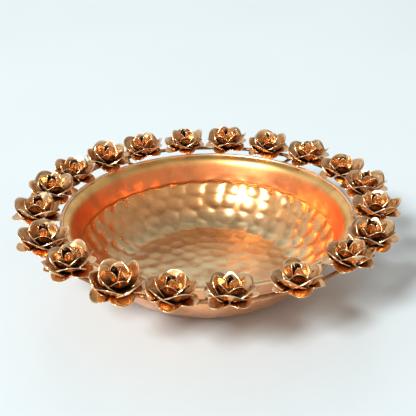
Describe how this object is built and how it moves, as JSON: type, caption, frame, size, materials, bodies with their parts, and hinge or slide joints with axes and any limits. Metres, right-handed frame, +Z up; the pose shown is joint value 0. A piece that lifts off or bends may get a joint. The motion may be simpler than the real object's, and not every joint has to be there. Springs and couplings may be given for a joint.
{
  "type": "flower-rimmed urli bowl",
  "caption": "Shallow round metal bowl with a hammered inside and a flared, beaded lip, set in a wire hoop of layered sheet-metal roses; it holds water for floating candles or petals.",
  "frame": {"origin": "centre of the flat underside of the base, on the surface that the bowl stands on", "axes": "+Z up through the bowl's mouth, -Y towards the front, +X to the right as seen from the front"},
  "size_m": [0.29, 0.2898, 0.071],
  "materials": {
    "bowl": "polished copper-gold finish, hammered inside and spun smooth outside",
    "wire": "antiqued copper-brown finish, drawn smooth",
    "petals": "antiqued copper-brown finish with rubbed bright edges",
    "heart": "antiqued copper finish, warmer and less worn than the outer petals"
  },
  "bodies": {
    "root": {"bowl": "bowl", "flower_hoop": "wire", "stay_1": "wire", "stay_2": "wire", "stay_3": "wire", "stay_4": "wire", "stay_5": "wire", "rose_01_petals": "petals", "rose_01_heart": "heart", "rose_02_petals": "petals", "rose_02_heart": "heart", "rose_03_petals": "petals", "rose_03_heart": "heart", "rose_04_petals": "petals", "rose_04_heart": "heart", "rose_05_petals": "petals", "rose_05_heart": "heart", "rose_06_petals": "petals", "rose_06_heart": "heart", "rose_07_petals": "petals", "rose_07_heart": "heart", "rose_08_petals": "petals", "rose_08_heart": "heart", "rose_09_petals": "petals", "rose_09_heart": "heart", "rose_10_petals": "petals", "rose_10_heart": "heart", "rose_11_petals": "petals", "rose_11_heart": "heart", "rose_12_petals": "petals", "rose_12_heart": "heart", "rose_13_petals": "petals", "rose_13_heart": "heart", "rose_14_petals": "petals", "rose_14_heart": "heart", "rose_15_petals": "petals", "rose_15_heart": "heart", "rose_16_petals": "petals", "rose_16_heart": "heart", "rose_17_petals": "petals", "rose_17_heart": "heart", "rose_18_petals": "petals", "rose_18_heart": "heart", "rose_19_petals": "petals", "rose_19_heart": "heart", "rose_20_petals": "petals", "rose_20_heart": "heart"}
  },
  "joints": []
}
